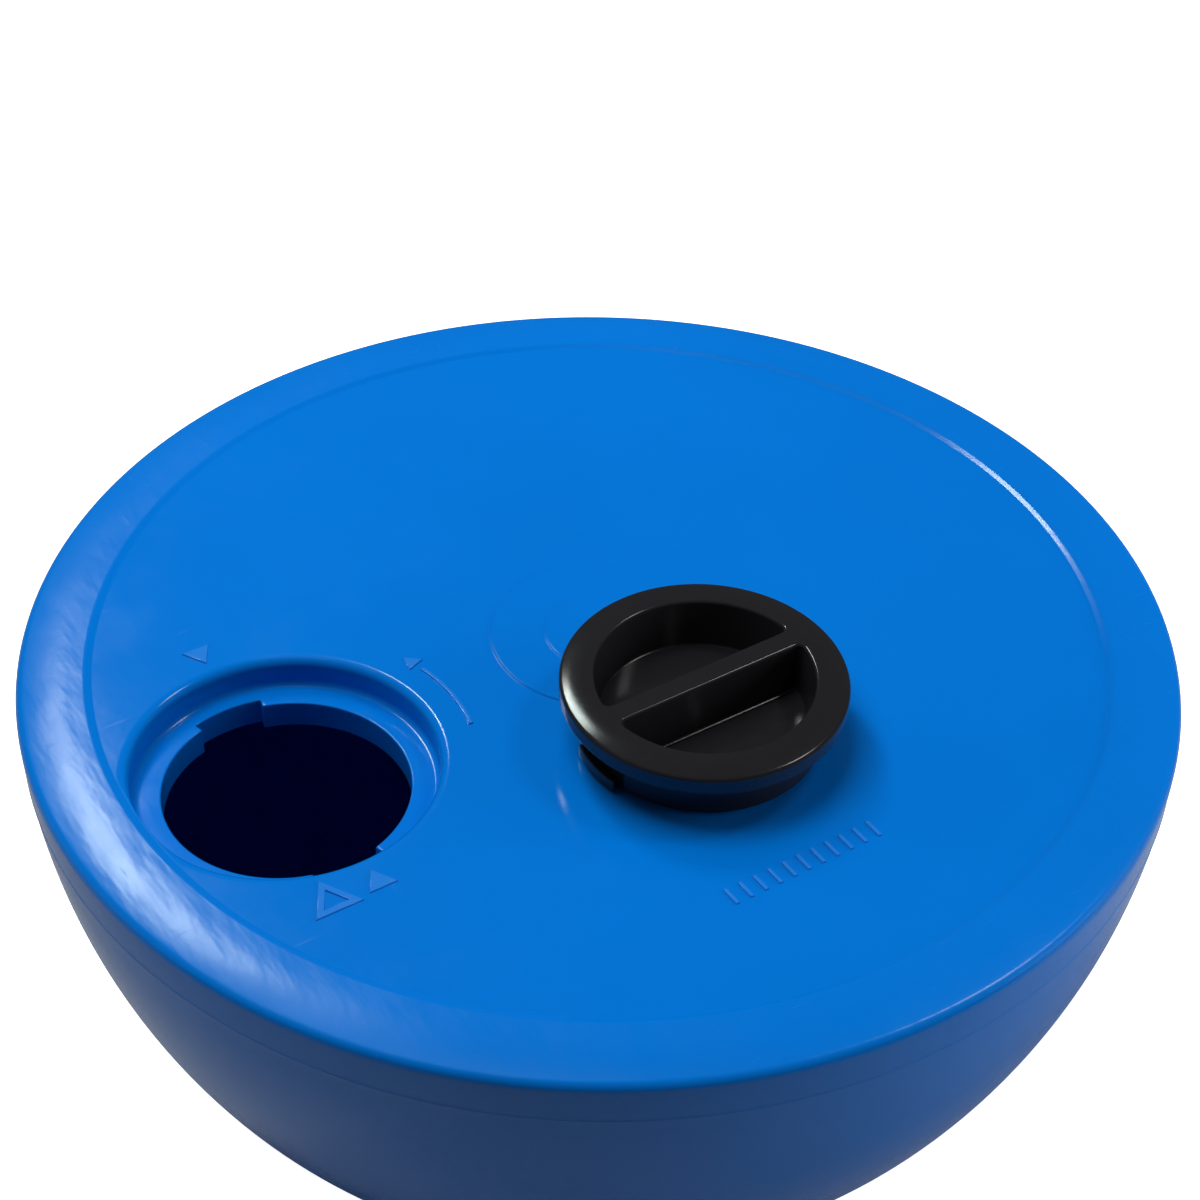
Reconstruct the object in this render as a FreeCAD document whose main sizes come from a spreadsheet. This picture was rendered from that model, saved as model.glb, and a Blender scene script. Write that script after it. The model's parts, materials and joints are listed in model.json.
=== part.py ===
"""Ballast base of blue polyethylene: a hollow bowl closed by a flat face, with a bayonet filler cap.

The base stands on its narrow end, face up, and the cap lies loose on the face beside its filler hole.
Frame: origin at the centre of the narrow end, +Z up along the bowl's axis, filler hole on -X.
Lengths are in millimetres and angles in degrees.
"""
import FreeCAD
import Part
import Sketcher
import math
import os

SIZES = [
    # name, value, meaning
    ("face_radius", 180.0, "largest radius of the bowl, at the face"),
    ("face_level", 195.0, "height of the flat face above the narrow end"),
    ("wall", 3.0, "wall thickness of both shells"),
    ("bowl_arc", 222.0, "radius of the arc that the side wall follows from the face down"),
    ("seam_drop", 14.5, "weld seam below the face"),
    ("band_radius", 159.0, "inner radius of the outer band"),
    ("band_slope", 1.0, "width of the sloped step up to the band"),
    ("band_rise", 1.0, "height of the band above the face"),
    ("band_land", 5.0, "flat width of the band"),
    ("crown_arc", 80.0, "radius of the band's crown"),
    ("rim_fillet", 3.0, "rounding of the rim"),
    ("boss_radius", 34.0, "raised centre disc"),
    ("boss_rise", 0.6, "height of the centre disc"),
    ("hub_radius", 17.0, "smaller disc on the centre disc"),
    ("hub_rise", 1.0, "height of the smaller disc above the face"),
    ("foot_fillet", 30.0, "rounding from the side wall to the narrow end"),
    ("pole_radius", 14.25, "bore of the pole socket"),
    ("pole_chamfer", 1.5, "lead-in at the socket's mouth"),
    ("filler_offset", 110.6, "filler hole from the axis"),
    ("recess_radius", 45.7, "recess that takes the cap's flange"),
    ("recess_depth", 10.0, "ledge below the face"),
    ("hole_radius", 37.0, "filler hole"),
    ("collar_length", 9.0, "length of the filler hole's wall"),
    ("slot_reach", 3.0, "bayonet slot's depth beyond the hole"),
    ("slot_angle", 32.0, "bayonet slot's width"),
    ("lip_fillet", 4.0, "rounding of the recess's lip"),
    ("ledge_fillet", 3.5, "rounding at the foot of the recess's wall"),
    ("mark_rise", 0.5, "height of the raised marks"),
    ("mark_circle", 56.8, "circle of marks about the filler hole"),
    ("pointer_size", 5.2, "centre to corner of an aligning triangle"),
    ("open_circle", 58.2, "open triangle's centre from the filler hole's"),
    ("open_angle", -104.4, "open triangle's direction from the filler hole"),
    ("open_size", 8.6, "centre to corner of the open triangle"),
    ("open_inside", 4.4, "the same for its opening"),
    ("arrow_width", 1.4, "width of the turning arrow's shaft"),
    ("arrow_sweep", 30.0, "length of the arrow's shaft, about the filler hole"),
    ("arrow_head", 3.6, "centre to corner of the arrow's head"),
    ("bar_count", 11.0, "plain raised bars in the row"),
    ("bar_pitch", 5.0, "from one bar to the next"),
    ("bar_length", 6.4, "length of a bar"),
    ("bar_width", 1.3, "width of a bar"),
    ("bars_across", -5.5, "middle of the row along X"),
    ("bars_along", -114.0, "middle of the row along Y"),
    ("flange_radius", 43.0, "cap's flange"),
    ("flange_height", 5.2, "height of the flange's edge"),
    ("flange_rise", 1.4, "the flange's top rises this much to the finger bowl"),
    ("lip_radius", 36.0, "start of the flat ring round the finger bowl"),
    ("bowl_radius", 33.7, "finger bowl at its top"),
    ("bowl_depth", 16.0, "finger bowl's depth"),
    ("bowl_draft", 2.0, "the finger bowl narrows this much to its floor"),
    ("floor_wall", 2.5, "thickness of the finger bowl's floor"),
    ("grip_width", 5.2, "grip bar at its top"),
    ("grip_foot", 7.9, "grip bar at its foot"),
    ("grip_half", 34.5, "half length of the grip bar, into the wall"),
    ("plug_radius", 36.2, "plug below the flange"),
    ("cap_height", 20.2, "flange's edge to the bottom of the lugs"),
    ("plug_short", 0.47, "the plug ends this much above the lugs"),
    ("lug_radius", 38.8, "bayonet lugs"),
    ("lug_height", 4.4, "thickness of a lug"),
    ("lug_angle", 28.0, "width of a lug"),
    ("lug_root", 1.5, "a lug starts this far inside the plug"),
    ("grip_fillet", 2.5, "rounding where the grip bar meets the finger bowl's wall"),
    ("edge_fillet", 0.8, "rounding of the flange's top edge"),
    ("seal_gap", 0.3, "clearance round the seal"),
    ("seal_radius", 41.5, "outer radius of the seal"),
    ("seal_height", 1.8, "thickness of the seal"),
    ("cap_across", 1.4, "the loose cap's place along X"),
    ("cap_along", -53.7, "the loose cap's place along Y"),
    ("cap_lean", 1.0, "the loose cap leans this much to -Y"),
    ("cap_gap", 0.2, "clearance under the lugs' circle"),
]


class Size:
    """A length that knows its value and the expression that gives it from the sheet."""

    def __init__(self, value, text):
        self.value = value
        self.text = text

    def _join(self, other, sign, value):
        text = other.text if isinstance(other, Size) else repr(float(other))
        return Size(value, "(%s %s %s)" % (self.text, sign, text))

    def __add__(self, other):
        return self._join(other, "+", self.value + number(other))

    def __sub__(self, other):
        return self._join(other, "-", self.value - number(other))

    def __mul__(self, other):
        return self._join(other, "*", self.value * number(other))

    def __neg__(self):
        return Size(-self.value, "(0 - %s)" % self.text)


def number(item):
    """The plain number of a Size or of a number."""
    return item.value if isinstance(item, Size) else float(item)


def make_sheet(doc):
    """Fills the sheet with the driving sizes and returns them by name."""
    sheet = doc.addObject("Spreadsheet::Sheet", "dims")
    for row, (name, value, meaning) in enumerate(SIZES, start=1):
        sheet.set("A%d" % row, name)
        sheet.set("B%d" % row, repr(value))
        sheet.set("C%d" % row, meaning)
        sheet.setAlias("B%d" % row, name)
    doc.recompute()
    return {name: Size(value, "dims." + name) for name, value, meaning in SIZES}


doc = FreeCAD.newDocument("ballast_base")
dim = make_sheet(doc)
ZERO = Size(0.0, "0")
CUT_PAST = 1.0    # a through cut goes on this far past the far face
ORIGIN = (-1, 1)
X_AXIS, Y_AXIS = -1, -2
UP = FreeCAD.Vector(0, 0, 1)


# ---------------------------------------------------------------- sketch helpers

def new_body(name):
    body = doc.addObject("PartDesign::Body", name)
    body.Label = name
    return body


def new_sketch(body, name, role, level=None):
    """A sketch on one of the body's own origin planes, raised by level where one is given."""
    plane = [item for item in body.Origin.OriginFeatures if item.Role == role][0]
    sketch = body.newObject("Sketcher::SketchObject", name)
    sketch.AttachmentSupport = [(plane, "")]
    sketch.MapMode = "FlatFace"
    if level is not None:
        sketch.setExpression("AttachmentOffset.Base.z", level.text)
    return sketch


def bind(sketch, constraint, size):
    """Adds a constraint and ties it to the sheet."""
    index = sketch.addConstraint(constraint)
    sketch.setExpression("Constraints[%d]" % index, size.text)


def pin(sketch, geometry, end, across=None, along=None):
    """Places one point of a curve: on an axis where its size is zero, else at a bound distance."""
    if across is not None:
        if across.value == 0.0:
            sketch.addConstraint(Sketcher.Constraint("PointOnObject", geometry, end, Y_AXIS))
        else:
            bind(sketch, Sketcher.Constraint("DistanceX", *ORIGIN, geometry, end, across.value), across)
    if along is not None:
        if along.value == 0.0:
            sketch.addConstraint(Sketcher.Constraint("PointOnObject", geometry, end, X_AXIS))
        else:
            bind(sketch, Sketcher.Constraint("DistanceY", *ORIGIN, geometry, end, along.value), along)


def arc_between(centre, radius, first, last):
    """The arc from first to last, and whether its own start is first."""
    start = math.atan2(first[1] - centre[1], first[0] - centre[0])
    end = math.atan2(last[1] - centre[1], last[0] - centre[0])
    circle = Part.Circle(FreeCAD.Vector(centre[0], centre[1], 0), UP, radius)
    forward = (end - start) % (2 * math.pi) < math.pi
    low, high = (start, end) if forward else (end, start)
    return Part.ArcOfCircle(circle, low, high), forward


def outline(sketch, corners, arcs):
    """Draws a closed outline.

    corners are (across, along) sizes; either is a plain number where an arc decides it.
    arcs maps a corner's index to (centre across, centre along, radius) of the arc that leaves it.
    """
    points = [(number(across), number(along)) for across, along in corners]
    ends = []
    for index, point in enumerate(points):
        following = points[(index + 1) % len(points)]
        if index in arcs:
            across, along, radius = arcs[index]
            curve, forward = arc_between((across.value, along.value), radius.value, point, following)
            geometry = sketch.addGeometry(curve, False)
            ends.append((geometry, 1, 2) if forward else (geometry, 2, 1))
        else:
            line = Part.LineSegment(FreeCAD.Vector(*point, 0), FreeCAD.Vector(*following, 0))
            ends.append((sketch.addGeometry(line, False), 1, 2))
    for index, (geometry, start, end) in enumerate(ends):
        following, first, last = ends[(index + 1) % len(ends)]
        sketch.addConstraint(Sketcher.Constraint("Coincident", geometry, end, following, first))
    for index, (across, along) in enumerate(corners):
        geometry, start, end = ends[index]
        pin(sketch, geometry, start, across if isinstance(across, Size) else None,
            along if isinstance(along, Size) else None)
        if index in arcs:
            centre_across, centre_along, radius = arcs[index]
            pin(sketch, geometry, 3, centre_across, centre_along)
            bind(sketch, Sketcher.Constraint("Radius", geometry, radius.value), radius)


def disc(sketch, across, radius):
    """Draws a circle centred on the sketch's X axis."""
    centre = FreeCAD.Vector(number(across), 0, 0)
    geometry = sketch.addGeometry(Part.Circle(centre, UP, radius.value), False)
    pin(sketch, geometry, 3, across, ZERO)
    bind(sketch, Sketcher.Constraint("Radius", geometry, radius.value), radius)


def sector(sketch, across, inner, outer, middle, width):
    """Draws a ring sector about (across, 0): inner and outer radius, middle direction, width in degrees."""
    centre = FreeCAD.Vector(number(across), 0, 0)
    low, high = (math.radians(middle + side * width.value / 2) for side in (-1, 1))
    arcs = []
    for radius in (inner, outer):
        arc = Part.ArcOfCircle(Part.Circle(centre, UP, radius.value), low, high)
        arcs.append(sketch.addGeometry(arc, False))
        pin(sketch, arcs[-1], 3, across, ZERO)
        bind(sketch, Sketcher.Constraint("Radius", arcs[-1], radius.value), radius)
    for end, angle in ((1, low), (2, high)):
        reach = [centre + FreeCAD.Vector(math.cos(angle), math.sin(angle), 0) * radius.value
                 for radius in (inner, outer)]
        side = sketch.addGeometry(Part.LineSegment(*reach), False)
        sketch.addConstraint(Sketcher.Constraint("Coincident", side, 1, arcs[0], end))
        sketch.addConstraint(Sketcher.Constraint("Coincident", side, 2, arcs[1], end))


def revolve(body, name, sketch):
    feature = body.newObject("PartDesign::Revolution", name)
    feature.Profile = sketch
    feature.ReferenceAxis = (sketch, ["V_Axis"])
    feature.Angle = 360.0
    sketch.Visibility = False
    return feature


def pad(body, name, sketch, length):
    feature = body.newObject("PartDesign::Pad", name)
    feature.Profile = sketch
    feature.setExpression("Length", length.text)
    return feature


def pocket(body, name, sketch, depth):
    """Cuts downwards from the sketch and makes sure that something was cut."""
    doc.recompute()
    before = body.Shape.Volume
    feature = body.newObject("PartDesign::Pocket", name)
    feature.Profile = sketch
    feature.setExpression("Length", depth.text)
    doc.recompute()
    if body.Shape.Volume >= before - 1.0:
        raise RuntimeError("%s cuts nothing" % name)
    return feature


def circle_edges(shape, radius, level, centre=(0.0, 0.0), tolerance=0.05):
    """Names of the circular edges of one radius, height and centre."""
    names = []
    for index, edge in enumerate(shape.Edges, start=1):
        curve = edge.Curve
        if not isinstance(curve, Part.Circle) or abs(curve.Radius - radius) > tolerance:
            continue
        place = curve.Center
        aside = math.hypot(place.x - centre[0], place.y - centre[1])
        if abs(place.z - level) < tolerance and aside < tolerance:
            names.append("Edge%d" % index)
    return names


def fillet(body, name, radius, edges):
    """Rounds the named edges of the body's present shape."""
    if not edges:
        raise RuntimeError("%s finds no edges" % name)
    base = body.Tip
    feature = body.newObject("PartDesign::Fillet", name)
    feature.Base = (base, edges)
    feature.setExpression("Radius", radius.text)
    body.Tip = feature
    doc.recompute()
    return feature


# ---------------------------------------------------------------- shared profile

WALL_CENTRE = dim["face_radius"] - dim["bowl_arc"]
INNER_ARC = dim["bowl_arc"] - dim["wall"]
FACE = dim["face_level"]
UNDERSIDE = dim["face_level"] - dim["wall"]
SEAM = dim["face_level"] - dim["seam_drop"]
LEDGE = dim["face_level"] - dim["recess_depth"]
NECK_END = LEDGE - dim["collar_length"]
HOLE_ACROSS = -dim["filler_offset"]


def wall_radius(arc, level):
    """Radius of the side wall's outer or inner arc at a height."""
    return WALL_CENTRE.value + math.sqrt(arc.value ** 2 - (FACE.value - level.value) ** 2)


# ---------------------------------------------------------------- face plate

def polygon_mark(centre, radius, pointing, sides=3):
    """Corners of a regular raised mark that points one way."""
    turn = [math.radians(pointing + 360.0 * step / sides) for step in range(sides)]
    return [(centre[0] + radius * math.cos(a), centre[1] + radius * math.sin(a)) for a in turn]


def bar_mark(centre, length, width, direction):
    """Corners of a straight raised bar."""
    ahead = (math.cos(math.radians(direction)), math.sin(math.radians(direction)))
    aside = (-ahead[1], ahead[0])
    signs = ((-1, -1), (1, -1), (1, 1), (-1, 1))
    return [(centre[0] + p * ahead[0] * length / 2 + q * aside[0] * width / 2,
             centre[1] + p * ahead[1] * length / 2 + q * aside[1] * width / 2) for p, q in signs]


def around_hole(radius, angle):
    """A point at a distance and direction from the filler hole's centre."""
    turn = math.radians(angle)
    return HOLE_ACROSS.value + radius * math.cos(turn), radius * math.sin(turn)


def draw_polygon(sketch, corners):
    for index, corner in enumerate(corners):
        following = corners[(index + 1) % len(corners)]
        sketch.addGeometry(Part.LineSegment(FreeCAD.Vector(*corner, 0),
                                            FreeCAD.Vector(*following, 0)), False)


def raised_marks(body):
    """Two aligning triangles, an open one, the turning arrow and a row of plain bars."""
    circle = dim["mark_circle"]
    marks = new_sketch(body, "marks_outline", "XY_Plane", FACE)
    for side in (90.0, -90.0):
        pointer = polygon_mark(around_hole(circle.value, side), dim["pointer_size"].value, side + 180.0)
        draw_polygon(marks, pointer)
    centre = around_hole(dim["open_circle"].value, dim["open_angle"].value)
    for size in (dim["open_size"], dim["open_inside"]):
        draw_polygon(marks, polygon_mark(centre, size.value, 90.0))

    half = dim["arrow_width"] * 0.5
    sector(marks, HOLE_ACROSS, circle - half, circle + half, 0.0, dim["arrow_sweep"])
    head = dim["arrow_head"].value
    shaft_end = dim["arrow_sweep"].value / 2
    middle = shaft_end + math.degrees((head + dim["arrow_width"].value / 2) / circle.value)
    draw_polygon(marks, polygon_mark(around_hole(circle.value, middle), head, middle + 90.0))

    count = int(dim["bar_count"].value)
    for index in range(count):
        across = dim["bars_across"].value + (index - (count - 1) / 2) * dim["bar_pitch"].value
        draw_polygon(marks, bar_mark((across, dim["bars_along"].value),
                                     dim["bar_length"].value, dim["bar_width"].value, 90.0))
    pad(body, "marks", marks, dim["mark_rise"])


def face_plate():
    """The flat face with its rim, centre boss and filler neck, down to the seam."""
    body = new_body("face_plate")
    section = new_sketch(body, "plate_section", "XZ_Plane")
    band_top = FACE + dim["band_rise"]
    hub_top = FACE + dim["hub_rise"]
    boss_top = FACE + dim["boss_rise"]
    band_foot = dim["band_radius"] - dim["band_slope"]
    land_end = dim["band_radius"] + dim["band_land"]
    crown_centre = band_top - dim["crown_arc"]
    rim_level = crown_centre.value + math.sqrt(
        dim["crown_arc"].value ** 2 - (dim["face_radius"] - land_end).value ** 2)
    wall_arc = (WALL_CENTRE, FACE)
    corners = [
        (ZERO, hub_top), (dim["hub_radius"], hub_top), (dim["hub_radius"], boss_top),
        (dim["boss_radius"], boss_top), (dim["boss_radius"], FACE), (band_foot, FACE),
        (dim["band_radius"], band_top), (land_end, band_top.value), (dim["face_radius"].value, rim_level),
        (wall_radius(dim["bowl_arc"], SEAM), SEAM), (wall_radius(INNER_ARC, SEAM), SEAM),
        (wall_radius(INNER_ARC, UNDERSIDE), UNDERSIDE), (ZERO, UNDERSIDE),
    ]
    arcs = {7: (land_end, crown_centre, dim["crown_arc"]),
            8: (*wall_arc, dim["bowl_arc"]),
            10: (*wall_arc, INNER_ARC)}
    outline(section, corners, arcs)
    revolve(body, "plate", section)
    doc.recompute()
    rim = circle_edges(body.Shape, dim["face_radius"].value, rim_level, tolerance=0.3)
    fillet(body, "rim_rounding", dim["rim_fillet"], rim)

    neck = new_sketch(body, "neck_outline", "XY_Plane", NECK_END)
    disc(neck, HOLE_ACROSS, dim["recess_radius"] + dim["wall"])
    pad(body, "neck", neck, dim["recess_depth"] + dim["collar_length"] - dim["wall"])
    recess = new_sketch(body, "recess_outline", "XY_Plane", FACE)
    disc(recess, HOLE_ACROSS, dim["recess_radius"])
    pocket(body, "recess", recess, dim["recess_depth"])
    through = dim["recess_depth"] + dim["collar_length"] + CUT_PAST
    hole = new_sketch(body, "hole_outline", "XY_Plane", FACE)
    disc(hole, HOLE_ACROSS, dim["hole_radius"])
    pocket(body, "hole", hole, through)
    slots = new_sketch(body, "slots_outline", "XY_Plane", FACE)
    for side in (90.0, -90.0):
        sector(slots, HOLE_ACROSS, dim["hole_radius"] - dim["slot_reach"],
               dim["hole_radius"] + dim["slot_reach"], side, dim["slot_angle"])
    pocket(body, "slots", slots, through)
    place = (HOLE_ACROSS.value, 0.0)
    fillet(body, "lip", dim["lip_fillet"],
           circle_edges(body.Shape, dim["recess_radius"].value, FACE.value, place))
    fillet(body, "ledge_rounding", dim["ledge_fillet"],
           circle_edges(body.Shape, dim["recess_radius"].value, LEDGE.value, place))
    raised_marks(body)
    return body


# ---------------------------------------------------------------- bowl

def bowl_shell():
    """The side wall and narrow end, with the pole socket that reaches up to the face plate."""
    body = new_body("bowl_shell")
    section = new_sketch(body, "bowl_section", "XZ_Plane")
    tube = dim["pole_radius"] + dim["wall"]
    socket_end = UNDERSIDE - dim["wall"]
    wall_arc = (WALL_CENTRE, FACE)
    corners = [
        (wall_radius(dim["bowl_arc"], SEAM), SEAM), (wall_radius(dim["bowl_arc"], ZERO), ZERO),
        (dim["pole_radius"] + dim["pole_chamfer"], ZERO), (dim["pole_radius"], dim["pole_chamfer"]),
        (dim["pole_radius"], socket_end), (ZERO, socket_end), (ZERO, UNDERSIDE), (tube, UNDERSIDE),
        (tube, dim["wall"]), (wall_radius(INNER_ARC, dim["wall"]), dim["wall"]),
        (wall_radius(INNER_ARC, SEAM), SEAM),
    ]
    arcs = {0: (*wall_arc, dim["bowl_arc"]), 9: (*wall_arc, INNER_ARC)}
    outline(section, corners, arcs)
    revolve(body, "bowl", section)
    doc.recompute()
    foot = circle_edges(body.Shape, wall_radius(dim["bowl_arc"], ZERO), 0.0)
    fillet(body, "foot_rounding", dim["foot_fillet"], foot)
    return body


# ---------------------------------------------------------------- cap and seal

LIP = dim["flange_rise"]
CAP_FLOOR = dim["flange_rise"] - dim["bowl_depth"]
PLUG_END = dim["plug_short"] - dim["cap_height"]


def place_loose(body):
    """Lays a piece of the cap on the face: the lugs' circle clears the face by cap_gap."""
    lean = "(dims.cap_lean * 1 deg)"
    height = ("dims.face_level + dims.cap_gap + dims.lug_radius * sin(%s) + dims.cap_height * cos(%s)"
              % (lean, lean))
    body.setExpression("Placement.Base.x", "dims.cap_across")
    body.setExpression("Placement.Base.y", "dims.cap_along")
    body.setExpression("Placement.Base.z", height)
    body.Placement.Rotation = FreeCAD.Rotation(FreeCAD.Vector(1, 0, 0), dim["cap_lean"].value)
    body.setExpression("Placement.Rotation.Angle", "dims.cap_lean")


def upright_edges(shape, reach, aside, tolerance=2.2):
    """Names of the steep edges near the four places (+-reach, +-aside)."""
    names = []
    for index, edge in enumerate(shape.Edges, start=1):
        box = edge.BoundBox
        near = math.hypot(abs(box.Center.x) - reach, abs(box.Center.y) - aside) < tolerance
        if near and box.ZLength > 0.8 * dim["bowl_depth"].value:
            names.append("Edge%d" % index)
    return names


def filler_cap():
    """Bayonet cap: flange, plug, finger bowl with a grip bar across it, and two lugs."""
    body = new_body("filler_cap")
    section = new_sketch(body, "cap_section", "XZ_Plane")
    floor_radius = dim["bowl_radius"] - dim["bowl_draft"]
    flange_under = -dim["flange_height"]
    corners = [
        (ZERO, CAP_FLOOR), (floor_radius, CAP_FLOOR), (dim["bowl_radius"], LIP),
        (dim["lip_radius"], LIP), (dim["flange_radius"], ZERO), (dim["flange_radius"], flange_under),
        (dim["plug_radius"], flange_under), (dim["plug_radius"], PLUG_END),
        (dim["bowl_radius"], PLUG_END), (dim["bowl_radius"], CAP_FLOOR - dim["floor_wall"]),
        (ZERO, CAP_FLOOR - dim["floor_wall"]),
    ]
    outline(section, corners, {})
    revolve(body, "cap", section)

    grip = new_sketch(body, "grip_section", "YZ_Plane")
    foot, top = dim["grip_foot"] * 0.5, dim["grip_width"] * 0.5
    outline(grip, [(-foot, CAP_FLOOR), (foot, CAP_FLOOR), (top, LIP), (-top, LIP)], {})
    bar = pad(body, "grip", grip, dim["grip_half"] * 2)
    bar.Midplane = True

    lugs = new_sketch(body, "lugs_outline", "XY_Plane", -dim["cap_height"])
    for side in (0.0, 180.0):
        sector(lugs, ZERO, dim["plug_radius"] - dim["lug_root"], dim["lug_radius"],
               side, dim["lug_angle"])
    pad(body, "lugs", lugs, dim["lug_height"])
    doc.recompute()
    halfway = (dim["bowl_radius"] - dim["bowl_draft"] * 0.5).value
    half_width = ((dim["grip_width"] + dim["grip_foot"]) * 0.25).value
    fillet(body, "grip_corners", dim["grip_fillet"], upright_edges(body.Shape, halfway, half_width))
    edge = circle_edges(body.Shape, dim["flange_radius"].value, 0.0)
    fillet(body, "flange_edge", dim["edge_fillet"], edge)
    place_loose(body)
    return body


def cap_seal():
    """Rubber ring round the plug, under the flange."""
    body = new_body("cap_seal")
    section = new_sketch(body, "seal_section", "XZ_Plane")
    inner = dim["plug_radius"] + dim["seal_gap"]
    top = -(dim["flange_height"] + dim["seal_gap"])
    bottom = top - dim["seal_height"]
    outline(section, [(inner, bottom), (dim["seal_radius"], bottom),
                      (dim["seal_radius"], top), (inner, top)], {})
    revolve(body, "seal", section)
    doc.recompute()
    place_loose(body)
    return body


# ---------------------------------------------------------------- build and write

def check(pieces):
    """Stops on a failed feature or an unsound solid."""
    for item in doc.Objects:
        if {"Invalid", "Error"} & set(item.State):
            raise RuntimeError("%s is %s" % (item.Name, item.State))
    for piece in pieces:
        shape = piece.Shape
        if shape.isNull() or not shape.isValid() or len(shape.Solids) != 1:
            raise RuntimeError("%s is not one sound solid" % piece.Label)
        box = shape.BoundBox
        print("%-12s volume %9.0f mm3, box %.1f..%.1f  %.1f..%.1f  %.1f..%.1f" % (
            piece.Label, shape.Volume, box.XMin, box.XMax, box.YMin, box.YMax, box.ZMin, box.ZMax))


def write(pieces):
    os.makedirs("parts", exist_ok=True)
    for piece in pieces:
        piece.Shape.exportStep(os.path.join("parts", piece.Label + ".step"))


pieces = [face_plate(), bowl_shell(), filler_cap(), cap_seal()]
doc.recompute()
check(pieces)
write(pieces)
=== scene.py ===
"""Ballast base of blue polyethylene with its loose filler cap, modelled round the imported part."""
import json
import logging
import math
from dataclasses import dataclass
from enum import Enum

import bmesh
import bpy
from bmesh.types import BMEdge, BMesh, BMFace, BMVert
from bpy.types import Material, NodeSocket
from mathutils import Matrix, Vector


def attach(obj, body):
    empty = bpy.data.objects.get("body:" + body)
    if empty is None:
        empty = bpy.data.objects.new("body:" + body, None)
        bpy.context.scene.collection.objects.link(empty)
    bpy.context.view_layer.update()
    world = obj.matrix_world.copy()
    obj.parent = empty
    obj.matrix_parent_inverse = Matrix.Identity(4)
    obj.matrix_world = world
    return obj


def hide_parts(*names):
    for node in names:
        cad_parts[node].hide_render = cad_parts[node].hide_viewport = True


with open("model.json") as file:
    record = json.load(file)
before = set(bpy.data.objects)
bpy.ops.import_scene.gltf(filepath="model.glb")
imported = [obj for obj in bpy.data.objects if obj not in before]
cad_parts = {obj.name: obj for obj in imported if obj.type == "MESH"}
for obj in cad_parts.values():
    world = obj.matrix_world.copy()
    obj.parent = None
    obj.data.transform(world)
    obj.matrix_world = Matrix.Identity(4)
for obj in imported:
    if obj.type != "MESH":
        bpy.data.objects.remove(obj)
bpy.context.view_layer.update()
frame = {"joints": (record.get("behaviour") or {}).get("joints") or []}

Pair = tuple[float, float]
Triple = tuple[float, float, float]

LOG = logging.getLogger("ballast_base")
TURN = 2 * math.pi
ORIGIN = (0.0, 0.0, 0.0)
UP = (0.0, 0.0, 1.0)
WHITE = (1.0, 1.0, 1.0, 1.0)
CUBIC_CM = 1e6                   # to the cubic metre
TINY = 1e-6                      # metres: two points closer than this are one
SHARP_ANGLE = math.radians(38)   # edges that turn more than this shade as sharp
CORNER_ANGLE = 1.0               # radians: edges that turn more than this are corners to round
PAINTED_MARK_SHEEN = "painted_mark_sheen"      # attribute: 1 on the raised marks, which carry a painted sheen that makes them paler
SCUFFED_BAND = "scuffed_band"    # attribute: 1 on the band, which is streaked and less glossy


# ---------------- drawing and shaping

class Section:
    """A half section drawn in the XZ plane, corner by corner, and spun about an upright axis."""

    def __init__(self, across: float, level: float) -> None:
        """Starts the outline.

        Args:
            across: distance of the first point from the axis.
            level: height of the first point.
        """
        self.bm = bmesh.new()
        self.last = self.bm.verts.new((across, 0.0, level))

    def line(self, across: float, level: float) -> "Section":
        """Draws a straight run.

        Args:
            across: distance of its end from the axis.
            level: height of its end.

        Returns:
            The section, so that calls chain.
        """
        made = bmesh.ops.extrude_vert_indiv(self.bm, verts=[self.last])
        self.last = made["verts"][0]
        self.last.co = Vector((across, 0.0, level))
        return self

    def arc(self, centre: Pair, across: float, level: float, steps: int) -> "Section":
        """Draws an arc, the short way round.

        Args:
            centre: the arc's centre, across and up.
            across: distance of its end from the axis.
            level: height of its end.
            steps: number of straight pieces.

        Returns:
            The section, so that calls chain.
        """
        start = math.atan2(self.last.co.z - centre[1], self.last.co.x - centre[0])
        end = math.atan2(level - centre[1], across - centre[0])
        turn = (start - end + math.pi) % TURN - math.pi
        made = bmesh.ops.spin(self.bm, geom=[self.last], cent=(centre[0], 0.0, centre[1]),
                              axis=(0.0, 1.0, 0.0), angle=turn, steps=steps)
        self.last = corners_of(made["geom_last"])[0]
        return self

    def spin(self, steps: int, axis_across: float = 0.0) -> BMesh:
        """Turns the outline a full circle about its upright axis.

        Args:
            steps: number of pieces round the circle.
            axis_across: the axis's place along X.

        Returns:
            The bmesh, its seam and poles closed.
        """
        bmesh.ops.spin(self.bm, geom=self.bm.verts[:] + self.bm.edges[:], cent=ORIGIN, axis=UP,
                       angle=TURN, steps=steps, use_merge=True)
        bmesh.ops.remove_doubles(self.bm, verts=self.bm.verts[:], dist=TINY)
        bmesh.ops.translate(self.bm, verts=self.bm.verts[:], vec=(axis_across, 0.0, 0.0))
        return self.bm


def corners_of(items: list) -> list[BMVert]:
    """The vertices among an operator's results."""
    return [item for item in items if isinstance(item, BMVert)]


def turned(bm: BMesh, angle: float, axis: str) -> None:
    """Turns a shape about an axis through the origin, by an angle in radians."""
    bmesh.ops.rotate(bm, verts=bm.verts[:], cent=ORIGIN, matrix=Matrix.Rotation(angle, 3, axis))


def absorb(target: BMesh, *parts: BMesh) -> None:
    """Moves parts into one bmesh.

    Args:
        target: receives the parts.
        parts: are emptied and freed.
    """
    for part in parts:
        mesh = bpy.data.meshes.new("passing")
        part.to_mesh(mesh)
        part.free()
        target.from_mesh(mesh)
        bpy.data.meshes.remove(mesh)


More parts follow.
